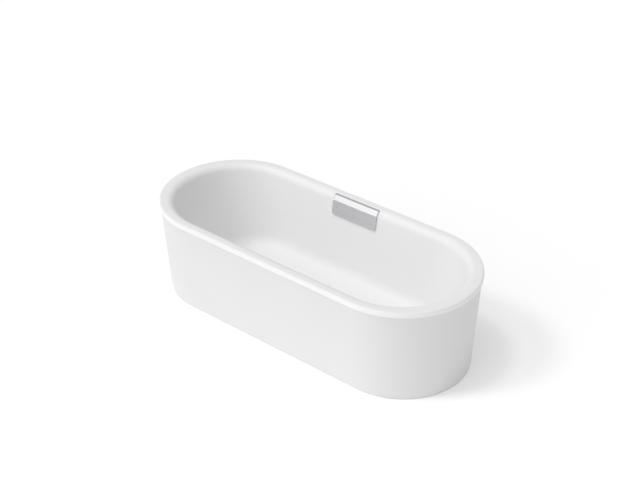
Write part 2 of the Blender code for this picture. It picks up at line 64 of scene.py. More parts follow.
COVER_HALF = COVER_HIGH.x

# Section of the basin
GAP = 0.0003
SHELL = 0.006
LIP_HEIGHT = 0.027
LIP_ROUND = 0.008
LIP_EDGE = 0.0018       # rounding of the lip's lower edges
ROLL_RADIUS = 0.040
SIDE_LEDGE = 0.029
END_LEDGE = 0.042
SIDE_LEAN = radians(7)
END_LEAN = radians(17)
COVE_RADIUS = 0.070
FLOOR_EDGE_Z = 0.086
DISH_Z = 0.0795
DISH_RADIUS = 0.036
WASTE_HOLE = 0.026

# Section of the skirt
BASE_LENGTH = 1.742
BASE_WIDTH = 0.682
SKIRT_WALL = 0.005
SKIRT_KNEE_Z = 0.472
SKIRT_CLEAR = SHELL + 0.0007
SKIRT_EDGE = 0.0012

# Overflow
WINDOW_HALF = 0.035
WINDOW_Z = (0.415, 0.445)
OVERFLOW_SCREW_X = 0.046
OVERFLOW_SCREW_Z = 0.430
COVER_SHEET = 0.0015
COVER_CORNER = 0.012
COVER_CREASE = (0.3115, 0.4810)      # Y and Z where the plate meets the sloping band
COVER_CREST = (0.3245, 0.5050)       # where the band meets the top lip
COVER_REAR_Z = 0.5045
COVER_GROOVE = 0.0016                # relief along the fold

# Hose, from the overflow down to the waste, in the X 0 plane
HOSE_RADIUS = 0.0122
HOSE_RIB = 0.0050
HOSE_STRAIGHT = 0.015
HOSE_TOP = (0.0, 0.343, 0.388)
HOSE_MIDDLE = Vector((0.0, 0.292, 0.110))
HOSE_LOW = (0.0, 0.0603, 0.038)

# Base, feet, waste and trap
BOARD_HOLE = 0.052
RAIL_WALL = 0.0025
BRACKET_THICK = 0.0025
FOOT_STUD = 0.005
NUT_FLATS = 0.016
PIPE_RADIUS = 0.020
PIPE_BORE = 0.0175
PIPE_Z = 0.034
TRAP_X = -0.150
TRAP_RADIUS = 0.034

# Mesh density
ARC_STEPS = 72
RUN_STEPS = 24
TURN_STEPS = 64
THREAD_SIDES = 24

# Camera, at the photograph's viewing angle
CAMERA_LENS = 72.28
CAMERA_TARGET = Vector((-0.1219, 0.1892, 0.3033))
CAMERA_AZIMUTH = radians(39.548)
CAMERA_ELEVATION = radians(31.702)
CAMERA_DISTANCE = 6.4914

# Light
SUN_SIDE = Vector((-0.613, -0.790, 0.0))       # all the lamps stand over this side
SUNS = ((50, 0.48), (70, 0.39), (80, 0.08))    # elevation in degrees, and strength
SUN_ANGLE = radians(12)
SKY_LOBES = (                                  # direction, sharpness, strength
    ((0.0, -1.0, 0.10), 2, 0.94),
    ((0.0, 1.0, 0.10), 2, 0.50),
    ((0.0, 0.0, 1.0), 2, 0.62),
    ((-0.60, -0.75, 0.30), 2, 0.15),
    ((-1.0, 0.0, 0.10), 2, 0.20),
    ((1.0, 0.0, 0.10), 2, 0.17),
    ((-0.54, -0.80, 0.26), 24, 0.16),
)
FLOOR_GLOW = 0.16


# Materials


def link(tree, source, target):
    tree.links.new(source, target)


def noise(tree, scale, detail=3.0, stretch=(1.0, 1.0, 1.0)):
    """A noise texture in the object's own coordinates; returns its value output."""
    place = tree.nodes.new("ShaderNodeTexCoord")
    mapping = tree.nodes.new("ShaderNodeMapping")
    mapping.inputs["Scale"].default_value = stretch
    texture = tree.nodes.new("ShaderNodeTexNoise")
    texture.inputs["Scale"].default_value = scale
    texture.inputs["Detail"].default_value = detail
    link(tree, place.outputs["Object"], mapping.inputs["Vector"])
    link(tree, mapping.outputs["Vector"], texture.inputs["Vector"])
    return texture.outputs["Fac"]


def spread(tree, value, low, high):
    """Maps a noise value, which mostly lies from 0.3 to 0.7, to low..high."""
    node = tree.nodes.new("ShaderNodeMapRange")
    node.inputs["From Min"].default_value = 0.3
    node.inputs["From Max"].default_value = 0.7
    node.inputs["To Min"].default_value = low
    node.inputs["To Max"].default_value = high
    link(tree, value, node.inputs["Value"])
    return node.outputs["Result"]


def tint(tree, value, colour_a, colour_b):
    """Colours between two tones along a noise value."""
    ramp = tree.nodes.new("ShaderNodeValToRGB")
    ramp.color_ramp.elements[0].position = 0.32
    ramp.color_ramp.elements[0].color = (*colour_a, 1.0)
    ramp.color_ramp.elements[1].position = 0.68
    ramp.color_ramp.elements[1].color = (*colour_b, 1.0)
    link(tree, value, ramp.inputs["Fac"])
    return ramp.outputs["Color"]


def finish(
    name, tones, rough, metal=0.0, scale=6.0, grain=400.0, bump=0.02, depth=0.0002,
    stretch=(1, 1, 1), gloss=0.5,
):
    """A Principled material whose colour and roughness vary with noise, over a fine surface grain."""
    made = bpy.data.materials.new(name)
    made.use_nodes = True
    tree = made.node_tree
    shader = tree.nodes["Principled BSDF"]
    shader.inputs["Metallic"].default_value = metal
    shader.inputs["Specular IOR Level"].default_value = gloss
    broad = noise(tree, scale, stretch=stretch)
    link(tree, tint(tree, broad, *tones), shader.inputs["Base Color"])
    fine = noise(tree, grain, 4.0, stretch)
    link(tree, spread(tree, fine, *rough), shader.inputs["Roughness"])
    height = tree.nodes.new("ShaderNodeBump")
    height.inputs["Strength"].default_value = bump
    height.inputs["Distance"].default_value = depth
    link(tree, fine, height.inputs["Height"])
    link(tree, height.outputs["Normal"], shader.inputs["Normal"])
    return made


def grey(value, cool=0.0):
    return (value, value, value * (1 + cool))


# The basin and the skirt are one white acrylic. The basin's colour is painted lighter, as painted light on
# the inside walls, and the skirt's is painted darker, as painted shade on the outer walls.
BASIN_ACRYLIC_PAINTED_LIGHT = finish(
    "acrylic_basin_painted_light", (grey(0.915), grey(0.925, 0.003)), (0.34, 0.42), scale=3, grain=90, bump=0.02, gloss=0.22
)
# Painted shade: the skirt's acrylic is darker than the basin's, to stand in for the shade on its outer walls.
SKIRT_ACRYLIC_PAINTED_SHADE = finish(
    "acrylic_skirt_painted_shade", (grey(0.785), grey(0.80, 0.008)), (0.38, 0.46), scale=3, grain=140, bump=0.03, gloss=0.25
)
CHROME = finish(
    "chrome_brushed", (grey(0.85, 0.02), grey(0.89, 0.02)), (0.16, 0.24),
    1.0, 30, 900, 0.05, 0.0001, (0.02, 1, 1),
)
CHROME_POLISHED = finish(
    "chrome_polished", (grey(0.78, 0.02), grey(0.82, 0.02)), (0.05, 0.10), 1.0, 20, 500, 0.02
)
SILICONE = finish("silicone_white", (grey(0.78), grey(0.83)), (0.50, 0.60), scale=15, grain=250, bump=0.15)
RUBBER = finish("rubber_black", (grey(0.030), grey(0.045)), (0.62, 0.78), scale=25, grain=700, bump=0.25)
ZINC = finish("zinc_plate", ((0.55, 0.56, 0.58), (0.67, 0.68, 0.69)), (0.30, 0.46), 1.0, 45, 350, 0.12)
PLASTIC_WHITE = finish(
    "plastic_white", (grey(0.74), grey(0.79, -0.01)), (0.36, 0.46), scale=20, grain=900, bump=0.10
)
PLASTIC_GREY = finish(
    "plastic_grey", (grey(0.24, 0.03), grey(0.30, 0.03)), (0.40, 0.52), scale=20, grain=900, bump=0.12
)
HOSE = finish("hose_grey", (grey(0.16, 0.03), grey(0.20, 0.03)), (0.42, 0.55), scale=30, grain=600, bump=0.12)


def chipboard():
    """Pressed wood flakes: cells of several browns under a thin sealer."""
    browns = ((0.36, 0.25, 0.14), (0.58, 0.45, 0.28))
    made = finish("chipboard", browns, (0.55, 0.75), scale=60, grain=500, bump=0.3)
    tree = made.node_tree
    place = tree.nodes.new("ShaderNodeTexCoord")
    cells = tree.nodes.new("ShaderNodeTexVoronoi")
    cells.inputs["Scale"].default_value = 170.0
    ramp = tree.nodes.new("ShaderNodeValToRGB")
    tones = ((0.0, (0.30, 0.20, 0.11)), (0.45, (0.52, 0.39, 0.24)), (1.0, (0.68, 0.55, 0.37)))
    ramp.color_ramp.elements.new(tones[1][0])
    for element, (place_at, colour) in zip(ramp.color_ramp.elements, tones):
        element.position = place_at
        element.color = (*colour, 1.0)
    link(tree, place.outputs["Object"], cells.inputs["Vector"])
    link(tree, cells.outputs["Color"], ramp.inputs["Fac"])
    shader = tree.nodes["Principled BSDF"]
    link(tree, ramp.outputs["Color"], shader.inputs["Base Color"])
    return made


BOARD = chipboard()


# Mesh building


def add(name, bm, material, nodes, body="bath", at=(0, 0, 0), turn=None, sharp=35):
    """Links a finished bmesh as a smooth-shaded piece that rides on a body and stands for CAD nodes."""
    bmesh.ops.recalc_face_normals(bm, faces=bm.faces)
    mesh = bpy.data.meshes.new(name)
    bm.to_mesh(mesh)
    bm.free()
    mesh.shade_smooth()
    mesh.set_sharp_from_angle(angle=radians(sharp))
    obj = bpy.data.objects.new(name, mesh)
    bpy.context.scene.collection.objects.link(obj)
    obj.location = at
    if turn:
        obj.rotation_euler = turn
    mesh.materials.append(material)
    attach(obj, body)
    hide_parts(*nodes)
    return obj


def ring(straight, radius, z):
    """Points round a stadium outline, or a circle when straight is 0, with the same count either way."""
    outline = []
    for side in (1, -1):
        for step in range(ARC_STEPS + 1):
            angle = -pi / 2 + pi * step / ARC_STEPS
            outline.append((side * (straight + radius * cos(angle)), side * radius * sin(angle)))
        for step in range(1, RUN_STEPS):
            outline.append((side * straight * (1 - 2 * step / RUN_STEPS), side * radius))
    if straight == 0:
        count = len(outline)
        turns = [2 * pi * (i - ARC_STEPS / 2) / count for i in range(count)]
        outline = [(radius * cos(turn), radius * sin(turn)) for turn in turns]
    return [Vector((x, y, z)) for x, y in outline]


def loft(loops):
    """Skins rings of equal point counts and joins the last ring to the first."""
    bm = bmesh.new()
    rings = [[bm.verts.new(p) for p in loop] for loop in loops]
    count = len(rings[0])
    for low, high in zip(rings, rings[1:] + rings[:1]):
        for i in range(count):
            j = (i + 1) % count
            bm.faces.new((low[i], low[j], high[j], high[i]))
    return bm


def fillet(corners, radius, steps=6, closed=True):
    """Rounds the corners of a 2-D outline. Radius is one value or one for each corner."""
    count = len(corners)
    radii = radius if isinstance(radius, (list, tuple)) else [radius] * count
    outline = []
    for i, (x, y) in enumerate(corners):
        here = Vector((x, y))
        if radii[i] <= 0 or (not closed and i in (0, count - 1)):
            outline.append((x, y))
            continue
        back = Vector(corners[i - 1]) - here
        ahead = Vector(corners[(i + 1) % count]) - here
        half = back.angle(ahead) / 2
        run = min(radii[i] / tan(half), back.length * 0.49, ahead.length * 0.49)
        real = run * tan(half)
        centre = here + (back.normalized() + ahead.normalized()).normalized() * (real / sin(half))
        first = here + back.normalized() * run - centre
        last = here + ahead.normalized() * run - centre
        sweep = first.angle_signed(last)
        for step in range(steps + 1):
            angle = -sweep * step / steps
            outline.append((
                centre.x + first.x * cos(angle) - first.y * sin(angle),
                centre.y + first.x * sin(angle) + first.y * cos(angle),
            ))
    return outline


def turned(profile, steps=TURN_STEPS):
    """Spins (radius, z) points about Z. A profile that starts off the axis is closed round a bore."""
    bm = bmesh.new()
    points = [bm.verts.new((r, 0, z)) for r, z in profile]
    edges = [bm.edges.new(pair) for pair in zip(points, points[1:])]
    if profile[0][0] > 0:
        edges.append(bm.edges.new((points[-1], points[0])))
    bmesh.ops.spin(bm, geom=points + edges, angle=2 * pi, steps=steps, axis=(0, 0, 1), cent=(0, 0, 0))
    bmesh.ops.remove_doubles(bm, verts=bm.verts, dist=1e-6)
    return bm


# Basin


def reach(z, roll_centre, lean, out):
    """How far the basin's surface, moved outward by out, stands from the bath's centre line at height z."""
    roll_z = HEIGHT - ROLL_RADIUS
    roll = ROLL_RADIUS - out
    cove_z = FLOOR_EDGE_Z + COVE_RADIUS
    cove = COVE_RADIUS + out
    if z >= roll_z + roll * sin(lean):
        return roll_centre - sqrt(max(roll**2 - (z - roll_z) ** 2, 0))
    inner_wall = roll_centre - ROLL_RADIUS / cos(lean) - (roll_z - cove_z) * tan(lean)
    if z <= cove_z - cove * sin(lean):
        cove_centre = inner_wall - COVE_RADIUS / cos(lean)
        return cove_centre + sqrt(max(cove**2 - (cove_z - z) ** 2, 0))
    return inner_wall + out / cos(lean) + (z - cove_z) * tan(lean)


def side_reach(z, out=0.0):
    return reach(z, WIDTH / 2 - SIDE_LEDGE, SIDE_LEAN, out)


def end_reach(z, out=0.0):
    return reach(z, LENGTH / 2 - END_LEDGE, END_LEAN, out)


def basin_ring(z, out=0.0):
    wide = side_reach(z, out)
    return ring(end_reach(z, out) - wide, wide, z)


def rim_ring(inset, z):
    """A ring parallel to the rim's outer edge."""
    return ring((LENGTH - WIDTH) / 2, WIDTH / 2 - inset, z)


def shell_rings(out):
    """Rings from the floor's edge up to the top of the roll, on the surface moved outward by out."""
    cove_z = FLOOR_EDGE_Z + COVE_RADIUS
    roll_z = HEIGHT - ROLL_RADIUS
    heights = [cove_z - (COVE_RADIUS + out) * cos(radians(a)) for a in range(0, 85, 4)]
    wall_low = heights[-1]
    wall_high = roll_z + (ROLL_RADIUS - out) * cos(radians(84))
    heights += [wall_low + (wall_high - wall_low) * step / 12 for step in range(1, 12)]
    heights += [roll_z + (ROLL_RADIUS - out) * cos(radians(a)) for a in range(84, -1, -4)]
    return [basin_ring(z, out) for z in heights]


def floor_rings():
    """The basin floor from the waste hole out: the flange's recess, its soft edge, and a slow fall."""
    edge_wide = side_reach(FLOOR_EDGE_Z)
    edge_long = end_reach(FLOOR_EDGE_Z) - edge_wide
    rings = [
        ring(0, WASTE_HOLE, DISH_Z),
        ring(0, DISH_RADIUS - 0.001, DISH_Z),
        ring(0, DISH_RADIUS, DISH_Z + 0.0003),
        ring(0, DISH_RADIUS + 0.004, DISH_Z + 0.0014),
        ring(0, DISH_RADIUS + 0.008, DISH_Z + 0.0020),
    ]
    fall_steps = 6
    first_z = DISH_Z + 0.0022
    for step in range(1, fall_steps + 1):
        share = step / fall_steps
        rings.append(ring(0.24 * share, 0.046 + 0.064 * share, first_z + 0.0018 * share))
    for step in range(1, fall_steps):
        share = step / fall_steps
        wide = 0.110 + (edge_wide - 0.110) * share
        z = DISH_Z + 0.004 + (FLOOR_EDGE_Z - DISH_Z - 0.004) * share
        rings.append(ring(0.24 + (edge_long - 0.24) * share, wide, z))
    return rings


def lip_rings():
    """From the flat rim round the outer edge, down the lip, and back up inside it."""
    lip_z = HEIGHT - LIP_HEIGHT
    rings = []
    for angle in range(90, -1, -9):
        inset = LIP_ROUND * (1 - cos(radians(angle)))
        rings.append(rim_ring(inset, HEIGHT - LIP_ROUND * (1 - sin(radians(angle)))))
    rings.append(rim_ring(0, lip_z + LIP_HEIGHT * 0.3))
    for angle in (0, 30, 60, 90):
        inset = LIP_EDGE * (1 - cos(radians(angle)))
        rings.append(rim_ring(inset, lip_z + LIP_EDGE * (1 - sin(radians(angle)))))
    for angle in (90, 60, 30, 0):
        inset = SHELL - LIP_EDGE * (1 - cos(radians(angle)))
        rings.append(rim_ring(inset, lip_z + LIP_EDGE * (1 - sin(radians(angle)))))
    rings.append(rim_ring(SHELL, HEIGHT - SHELL))
    return rings


def prism(outline, low_y, high_y):
    """An XZ outline extruded along Y."""
    bm = bmesh.new()
    face = bm.faces.new([bm.verts.new((x, low_y, z)) for x, z in outline])
    grown = bmesh.ops.extrude_face_region(bm, geom=[face])["geom"]
    moved = [g for g in grown if isinstance(g, bmesh.types.BMVert)]
    bmesh.ops.translate(bm, verts=moved, vec=(0, high_y - low_y, 0))
    bmesh.ops.recalc_face_normals(bm, faces=bm.faces)
    return bm


def bar(outline, half, centre=0.0):
    """A YZ outline extruded along X by half each way."""
    bm = bmesh.new()
    face = bm.faces.new([bm.verts.new((centre - half, y, z)) for y, z in outline])
    grown = bmesh.ops.extrude_face_region(bm, geom=[face])["geom"]
    moved = [g for g in grown if isinstance(g, bmesh.types.BMVert)]
    bmesh.ops.translate(bm, verts=moved, vec=(2 * half, 0, 0))
    bmesh.ops.recalc_face_normals(bm, faces=bm.faces)
    return bm


def rod(radius, start, end, steps=32):
    """A capped cylinder between two points."""
    start, end = Vector(start), Vector(end)
    run = end - start
    bm = bmesh.new()
    bmesh.ops.create_cone(bm, cap_ends=True, segments=steps, radius1=radius, radius2=radius, depth=run.length)
    place = Matrix.Translation((start + end) / 2) @ run.to_track_quat("Z", "Y").to_matrix().to_4x4()
    bmesh.ops.transform(bm, matrix=place, verts=bm.verts)
    return bm


def cut(obj, tools, operation="DIFFERENCE", sharp=35):
    """Applies Boolean tools, given as bmeshes, to a piece and removes them."""
    for tool in tools:
        mesh = bpy.data.meshes.new("tool")
        tool.to_mesh(mesh)
        tool.free()
        helper = bpy.data.objects.new("tool", mesh)
        bpy.context.scene.collection.objects.link(helper)
        change = obj.modifiers.new("tool", "BOOLEAN")
        change.operation = operation
        change.solver = "EXACT"
        change.object = helper
        graph = bpy.context.evaluated_depsgraph_get()
        result = bpy.data.meshes.new_from_object(obj.evaluated_get(graph))
        obj.modifiers.clear()
        old = obj.data
        obj.data = result
        bpy.data.meshes.remove(old)
        bpy.data.objects.remove(helper)
        bpy.data.meshes.remove(mesh)
    obj.data.shade_smooth()
    obj.data.set_sharp_from_angle(angle=radians(sharp))


def overflow_holes():
    """The window behind the cover and the two screw holes beside it."""
    low, high = WINDOW_Z
    corners = [(-WINDOW_HALF, low), (WINDOW_HALF, low), (WINDOW_HALF, high), (-WINDOW_HALF, high)]
    tools = [prism(fillet(corners, 0.006), 0.28, 0.345)]
    for side in (-1, 1):
        x = side * OVERFLOW_SCREW_X
        tools.append(rod(0.0028, (x, 0.295, OVERFLOW_SCREW_Z), (x, 0.3365, OVERFLOW_SCREW_Z), 24))
    return tools


def make_basin():
    wide = side_reach(FLOOR_EDGE_Z - SHELL, SHELL) - 0.012
    straight = end_reach(FLOOR_EDGE_Z - SHELL, SHELL) - 0.012 - wide
    pad = [
        ring(straight + 0.004, wide + 0.004, FLOOR_PAD_Z + 0.0015),
        ring(straight, wide, FLOOR_PAD_Z),
        ring(0, WASTE_HOLE, FLOOR_PAD_Z),
    ]
    loops = floor_rings() + shell_rings(0.0) + lip_rings() + list(reversed(shell_rings(SHELL))) + pad
    basin = add("basin_shell", loft(loops), BASIN_ACRYLIC_PAINTED_LIGHT, ["basin"], sharp=50)
    cut(basin, overflow_holes(), sharp=50)


# Skirt and seals


def skirt_ring(z, inset=0.0):
    """A ring on the skirt's outer face, moved inward by inset."""
    top_wide = WIDTH / 2 - SKIRT_CLEAR
    top_long = LENGTH / 2 - SKIRT_CLEAR
    share = min((z - SKIRT_LOW.z) / (SKIRT_KNEE_Z - SKIRT_LOW.z), 1)
    wide = BASE_WIDTH / 2 + (top_wide - BASE_WIDTH / 2) * share
    long = BASE_LENGTH / 2 + (top_long - BASE_LENGTH / 2) * share
    return ring(long - wide, wide - inset, z)


def band(low_z, high_z, inset, thick, edge):
    """A closed band between two heights on the skirt's taper, with all four edges rounded."""
    corners = [(inset, low_z), (inset, high_z), (inset + thick, high_z), (inset + thick, low_z)]
    return [skirt_ring(z, i) for i, z in fillet(corners, edge, 3)]


def make_skirt():
    outer = []
    for step in range(1, 8):
        outer.append(skirt_ring(SKIRT_LOW.z + (SKIRT_KNEE_Z - SKIRT_LOW.z) * step / 8))
    section = [skirt_ring(SKIRT_LOW.z, SKIRT_EDGE)]
    section += [skirt_ring(SKIRT_LOW.z + SKIRT_EDGE * 0.3, SKIRT_EDGE * 0.3)]
    section += [skirt_ring(SKIRT_LOW.z + SKIRT_EDGE)] + outer
    section += [skirt_ring(SKIRT_KNEE_Z - 0.002), skirt_ring(SKIRT_KNEE_Z), skirt_ring(SKIRT_HIGH.z)]
    section += [skirt_ring(z, SKIRT_WALL) for z in (SKIRT_HIGH.z, SKIRT_KNEE_Z, SKIRT_LOW.z)]
    add("skirt_shell", loft(section), SKIRT_ACRYLIC_PAINTED_SHADE, ["skirt"])
    bead_low, bead_high = (corner.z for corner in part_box("rim_bond_bead"))
    bead = loft(band(bead_low, bead_high, 0.0003, SKIRT_WALL - 0.0006, 0.0012))
    add("rim_bead", bead, SILICONE, ["rim_bond_bead"])
    seal = loft(band(SEAL_LOW.z, SEAL_HIGH.z, 0.0008, SKIRT_WALL - 0.0012, 0.0012))
    add("floor_seal_bead", seal, SILICONE, ["floor_seal"])


# Overflow cover


def cover_back(gap):
    """YZ points on the rim roll and side wall, gap clear of them, from the top lip down to the lower edge."""
    points = []
    for angle in range(22, 84, 6):
        z = HEIGHT - ROLL_RADIUS + (ROLL_RADIUS + gap) * cos(radians(angle))
        points.append((side_reach(z, -gap), z))
    points += [(side_reach(z, -gap), z) for z in (0.450, 0.425, COVER_LOW.z + 0.0006)]
    return points


def cover_front():
    """The folded sheet's outer face in YZ, from the plate's lower edge over the crease to the rear lip."""
    fold_y, fold_z = COVER_CREASE
    corners = [
        (COVER_LOW.y, COVER_LOW.z), (fold_y - 0.0002, fold_z - 0.0012),
        (fold_y + COVER_GROOVE, fold_z - 0.0004), (fold_y + 0.0004, fold_z + 0.0008),
        COVER_CREST, (COVER_HIGH.y, COVER_REAR_Z),
    ]
    return fillet(corners, [0, 0.0004, 0.0003, 0.0004, 0.0012, 0], 4, closed=False)


def along(points, spacing):
    """Samples a 2-D polyline at about even spacing, keeping its corners."""
    found = [points[0]]
    for (ax, ay), (bx, by) in zip(points, points[1:]):
        steps = max(1, round(hypot(bx - ax, by - ay) / spacing))
        found += [(ax + (bx - ax) * s / steps, ay + (by - ay) * s / steps) for s in range(1, steps + 1)]
    return found


def make_cover():
    """The sheet: rows along the folded section, each row as wide as the rounded lower corners allow."""
    section = along(cover_front(), 0.0015)
    bm = bmesh.new()
    rows = []
    run = 0.0
    across = 40
    for i, (y, z) in enumerate(section):
        if i:
            run += hypot(y - section[i - 1][0], z - section[i - 1][1])
        cut_back = 0.0
        if run < COVER_CORNER:
            cut_back = COVER_CORNER - sqrt(COVER_CORNER**2 - (COVER_CORNER - run) ** 2)
        half = COVER_HALF - cut_back
        rows.append([bm.verts.new((half * (2 * j / across - 1), y, z)) for j in range(across + 1)])
    for low, high in zip(rows, rows[1:]):
        for j in range(across):
            bm.faces.new((low[j], low[j + 1], high[j + 1], high[j]))
    cover = add("cover_sheet", bm, CHROME, ["overflow_cover"])
    if cover.data.polygons[0].normal.y > 0:
        cover.data.flip_normals()
    wall = cover.modifiers.new("sheet", "SOLIDIFY")
    wall.thickness = COVER_SHEET
    wall.offset = -1
    edge = cover.modifiers.new("edge", "BEVEL")
    edge.width = 0.0004
    edge.segments = 2
    edge.limit_method = "ANGLE"
    edge.angle_limit = radians(50)
    inner = [(y + 0.0018, z - 0.0012) for y, z in cover_front() if z > COVER_LOW.z + COVER_CORNER * 0.7]
    inner.insert(0, (COVER_LOW.y + 0.0026, COVER_LOW.z + COVER_CORNER * 0.7))
    outline = inner[:-1] + cover_back(0.0012)[1:-1]
    for name, side in (("left", -1), ("right", 1)):
        end = bar(outline, 0.0006, side * (COVER_HALF - 0.0025))
        add(f"cover_end_{name}", end, CHROME, ["overflow_cover"])


# Waste in the basin floor


def make_waste_top():
    low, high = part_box("waste_flange")
    outer = high.x
    top = high.z
    profile = [
        (0.0225, low.z), (0.0245, low.z), (0.0245, top - 0.0022), (outer - 0.0005, top - 0.0022),
        (outer, top - 0.0018), (outer - 0.0002, top - 0.0010), (outer - 0.0010, top - 0.0003),
        (outer - 0.0024, top), (0.0300, top), (0.0285, top - 0.0004), (0.0250, top - 0.0022),
        (0.0230, top - 0.0030),
        (0.0225, top - 0.0036),
    ]
    add("waste_flange_ring", turned(profile), CHROME_POLISHED, ["waste_flange"])
    low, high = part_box("plug_cap")
    edge = high.x
    profile = [
        (0, low.z), (0.0125, low.z), (0.0125, low.z + 0.0036), (edge - 0.0012, low.z + 0.0036),
        (edge - 0.0004, low.z + 0.0040), (edge, low.z + 0.0047),
    ]
    crown = [(edge - 0.0010 * t - 0.0150 * t * t, low.z + 0.0047 + 0.0028 * sin(t * pi / 2)) for t in
             (0.15, 0.3, 0.45, 0.6, 0.8, 1.0)]
    profile += crown + [(0.0100, high.z - 0.0003), (0.0050, high.z - 0.0001), (0, high.z)]
    add("plug_cap_dome", turned(profile), CHROME_POLISHED, ["plug_cap"], "waste_plug")


# Base board, rails, brackets and feet


def copy_piece(source, name, nodes, body="bath", at=(0, 0, 0), turn=None):
    """Another object on the same mesh, riding and standing for its own nodes."""
    obj = bpy.data.objects.new(name, source.data)
    bpy.context.scene.collection.objects.link(obj)
    obj.location = at
    if turn:
        obj.rotation_euler = turn
    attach(obj, body)
    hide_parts(*nodes)
    return obj


def middle(node):
    low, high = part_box(node)
    return (low + high) / 2


def stack(loops):
    """Skins rings of equal point counts and caps both ends."""
    bm = bmesh.new()
    rings = [[bm.verts.new(p) for p in loop] for loop in loops]
    count = len(rings[0])
    for low, high in zip(rings, rings[1:]):
        for i in range(count):
            j = (i + 1) % count
            bm.faces.new((low[i], low[j], high[j], high[i]))
    bm.faces.new(rings[0])
    bm.faces.new(rings[-1])
    return bm


def circle(radius, z, count=THREAD_SIDES):
    return [(radius * cos(2 * pi * i / count), radius * sin(2 * pi * i / count), z) for i in range(count)]


def thread(radius, depth, pitch, low_z, high_z):
    """Rings of a V thread, which runs out at both ends."""
    rings = []
    rows = round((high_z - low_z) / pitch * 4)
    for row in range(rows + 1):
        z = low_z + (high_z - low_z) * row / rows
        fade = min(1, row / 4, (rows - row) / 4)
        ring_points = []
        for i in range(THREAD_SIDES):
            turn = 2 * pi * i / THREAD_SIDES
            phase = (z / pitch - i / THREAD_SIDES) % 1
            here = radius - depth * fade * (1 - abs(2 * phase - 1))
            ring_points.append((here * cos(turn), here * sin(turn), z))
        rings.append(ring_points)
    return rings


def make_board():
    low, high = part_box("base_board")
    edge = 0.0008
    corners = [(low.x, low.y), (high.x, low.y), (high.x, high.y), (low.x, high.y)]
    outline = fillet(corners, 0.004, 4)
    loops = []
    for inset, z in ((edge, low.z), (0, low.z + edge), (0, high.z - edge), (edge, high.z)):
        loops.append([(x * (1 - inset / high.x), y * (1 - inset / high.y), z) for x, y in outline])
    board = add("base_board_panel", stack(loops), BOARD, ["base_board"])
    tools = [rod(BOARD_HOLE, (0, 0, low.z - 0.01), (0, 0, high.z + 0.01), TURN_STEPS)]
    for number in range(1, 5):
        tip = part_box(f"rail_screw_{number}")[1].z
        at = middle(f"rail_screw_{number}")
        tools.append(rod(0.0024, (at.x, at.y, low.z - 0.01), (at.x, at.y, tip + 0.0003), 16))
    cut(board, tools)


def make_rails():
    """Two channels, open downwards, with rounded bends and a hole for each stud and screw."""
    for end in ("left", "right"):
        low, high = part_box(f"cross_rail_{end}")
        inner_low, inner_high = low.x + RAIL_WALL, high.x - RAIL_WALL
        web = high.z - RAIL_WALL
        corners = [
            (low.x, low.z), (inner_low, low.z), (inner_low, web), (inner_high, web),
            (inner_high, low.z), (high.x, low.z), (high.x, high.z), (low.x, high.z),
        ]
        bends = [0.0008, 0.0008, 0.0015, 0.0015, 0.0008, 0.0008, 0.0035, 0.0035]
        name = f"cross_rail_{end}"
        channel = prism(fillet(corners, bends, 5), low.y, high.y)
        rail = add(f"{name}_channel", channel, ZINC, [name])
        x = middle(name).x
        tools = []
        for y in (middle("foot_stud_1").y, middle("foot_stud_2").y):
            tools.append(rod(0.0056, (x, y, web - 0.01), (x, y, high.z + 0.01), 24))
        for y in (middle("rail_screw_1").y, middle("rail_screw_2").y):
            tools.append(rod(0.0025, (x, y, web - 0.01), (x, y, high.z + 0.01), 16))
        for y in (middle("bracket_screw_1").y, middle("bracket_screw_2").y):
            tools.append(rod(0.0030, (x, y, web - 0.01), (x, y, high.z + 0.01), 16))
        cut(rail, tools)


def skirt_half(z):
    return max(point.y for point in skirt_ring(z))


def make_brackets():
    """Angles on the rails' ends, each with its upright leg leaning with the skirt."""
    back = SKIRT_WALL + 0.0006
    for number in range(1, 5):
        name = f"skirt_bracket_{number}"
        low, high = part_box(name)
        at = middle(name)
        side = 1 if at.y > 0 else -1
        inner = min(abs(low.y), abs(high.y))
        bottom = skirt_half(low.z) - back
        top = skirt_half(high.z) - back
        corners = [
            (side * inner, low.z), (side * bottom, low.z), (side * top, high.z),
            (side * (top - BRACKET_THICK), high.z),
            (side * (skirt_half(low.z + BRACKET_THICK) - back - BRACKET_THICK), low.z + BRACKET_THICK),
            (side * inner, low.z + BRACKET_THICK),
        ]
        outline = fillet(corners, [0.0006, 0.0040, 0.0006, 0.0006, 0.0018, 0.0006], 5)
        half = (high.x - low.x) / 2
        bracket = add(f"{name}_angle", bar(outline, half, at.x), ZINC, [name])
        hole = middle(f"bracket_screw_{number}")
        cut(bracket, [rod(0.0030, (at.x, hole.y, low.z - 0.003), (at.x, hole.y, low.z + 0.006), 16)])


def screw(name, node, head, dome, shaft, length, pitch, at, turn=None):
    """A pan-head screw: its head below Z 0 and its threaded shaft above, with a cross recess."""
    rings = []
    for share in (0.15, 0.4, 0.65, 0.85, 0.97):
        rings.append(circle(head * share, -dome * sqrt(max(1 - share**2, 0)) ** 0.8))
    rings += [circle(head, 0), circle(shaft, 0)]
    rings += thread(shaft, shaft * 0.18, pitch, 0.0004, length - 0.0015)
    rings.append(circle(shaft * 0.35, length))
    made = add(name, stack(rings), ZINC, [node], at=at, turn=turn)
    for wide, deep in ((head * 0.55, head * 0.11), (head * 0.11, head * 0.55)):
        tool = bmesh.new()
        bmesh.ops.create_cube(tool, size=2)
        bmesh.ops.scale(tool, verts=tool.verts, vec=(wide, deep, dome * 0.6))
        bmesh.ops.translate(tool, verts=tool.verts, vec=(0, 0, -dome))
        place = made.matrix_world.copy()
        bmesh.ops.transform(tool, matrix=place, verts=tool.verts)
        cut(made, [tool])
    return made


